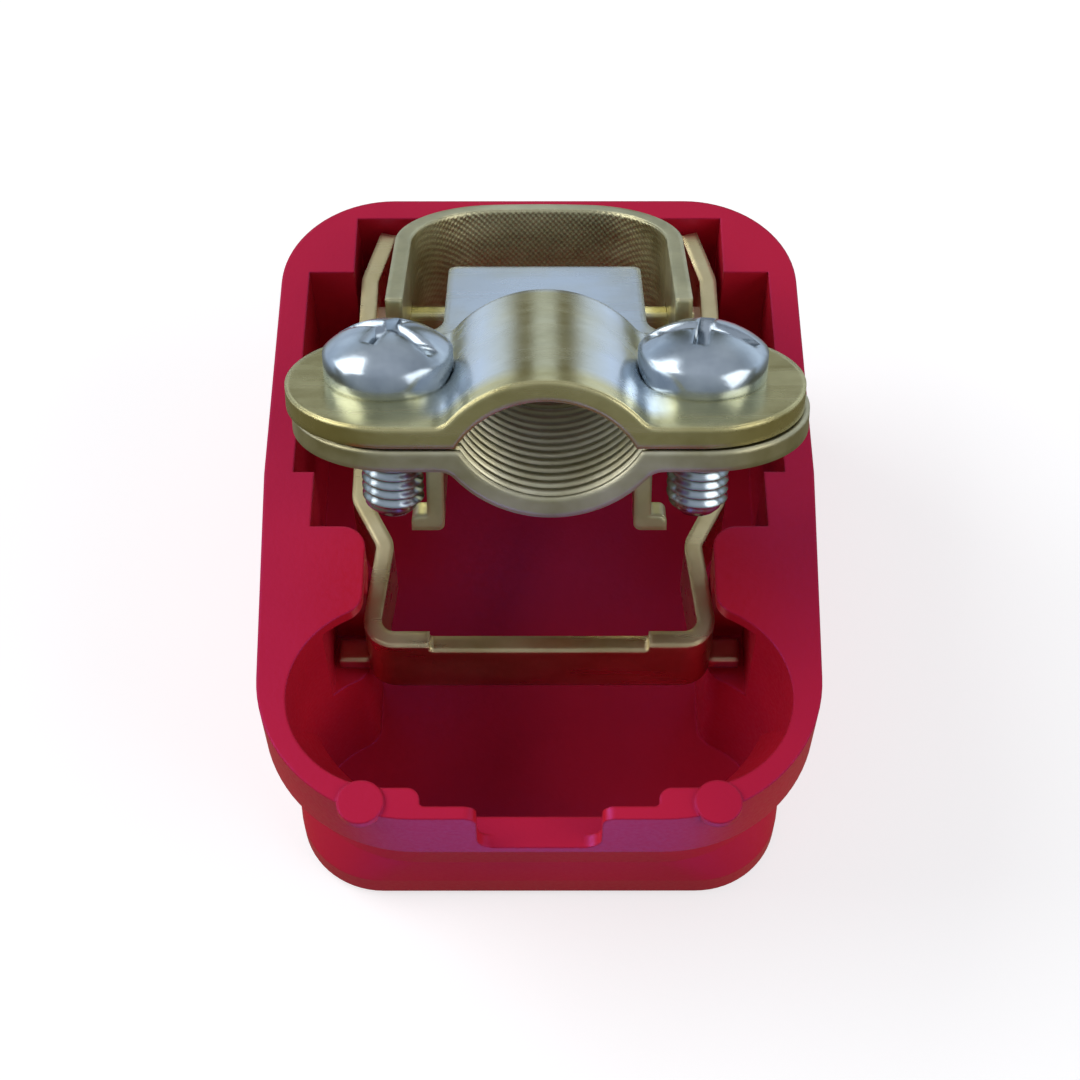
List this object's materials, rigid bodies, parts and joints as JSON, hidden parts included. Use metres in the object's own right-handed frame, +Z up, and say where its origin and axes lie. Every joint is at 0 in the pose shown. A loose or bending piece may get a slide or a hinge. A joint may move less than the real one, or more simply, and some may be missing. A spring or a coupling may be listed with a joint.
{
  "type": "battery terminal clamp",
  "caption": "Quick-release battery terminal clamp: a moulded lever cover with a hinged post band and screwed cable saddles.",
  "frame": {"origin": "centre of the cover's footprint on its closed face, on the table", "axes": "+Z up out of the cover's open side, +Y from the cable end towards the battery post end, +X to the right seen from the cable end"},
  "size_m": [0.0472, 0.0644, 0.0503],
  "materials": {
    "cover_plastic": "satin",
    "strip_steel": "satin",
    "rivet_steel": "satin",
    "spacer_polymer": "matte",
    "screw_zinc": "polished"
  },
  "bodies": {
    "lever": {"lever_cover": "cover_plastic", "lever_strap": "strip_steel", "pivot_rivet_right": "rivet_steel", "pivot_rivet_left": "rivet_steel", "pivot_spacer_right": "spacer_polymer", "pivot_spacer_left": "spacer_polymer"},
    "band": {"post_band": "strip_steel"},
    "jaw": {"upper_saddle": "strip_steel"},
    "lower_jaw": {"lower_saddle": "strip_steel"},
    "screw_right": {"clamp_screw_right": "screw_zinc"},
    "screw_left": {"clamp_screw_left": "screw_zinc"}
  },
  "joints": [
    {"name": "lever_hinge", "type": "hinge", "parent": "lever", "child": "band", "pos_m": [0, 0.0191, 0.0194], "axis": [-1, 0, 0], "range_deg": [-27, 2.5]},
    {"name": "saddle_slide", "type": "slide", "parent": "band", "child": "jaw", "axis": [0, 0.891, -0.454], "range_m": [-0.00946, 0.00088]},
    {"name": "lower_saddle_slide", "type": "slide", "parent": "jaw", "child": "lower_jaw", "axis": [0, -0.454, -0.891], "range_m": [-0.000234, 0.0007]},
    {"name": "left_screw_turn", "type": "hinge", "parent": "jaw", "child": "screw_left", "pos_m": [-0.0118, -0.00148, 0.04245], "axis": [0, 0.454, 0.891], "range_deg": [-105.5, 315.2]},
    {"name": "right_screw_turn", "type": "hinge", "parent": "jaw", "child": "screw_right", "pos_m": [0.0128, -0.00148, 0.04245], "axis": [0, 0.454, 0.891], "range_deg": [-105.5, 315.2]}
  ],
  "couplings": [
    {"joint": "saddle_slide", "follows": "lever_hinge", "m_per_rad": 0.020075},
    {"joint": "left_screw_turn", "follows": "lower_saddle_slide", "rad_per_m": 7854},
    {"joint": "right_screw_turn", "follows": "lower_saddle_slide", "rad_per_m": 7854}
  ]
}
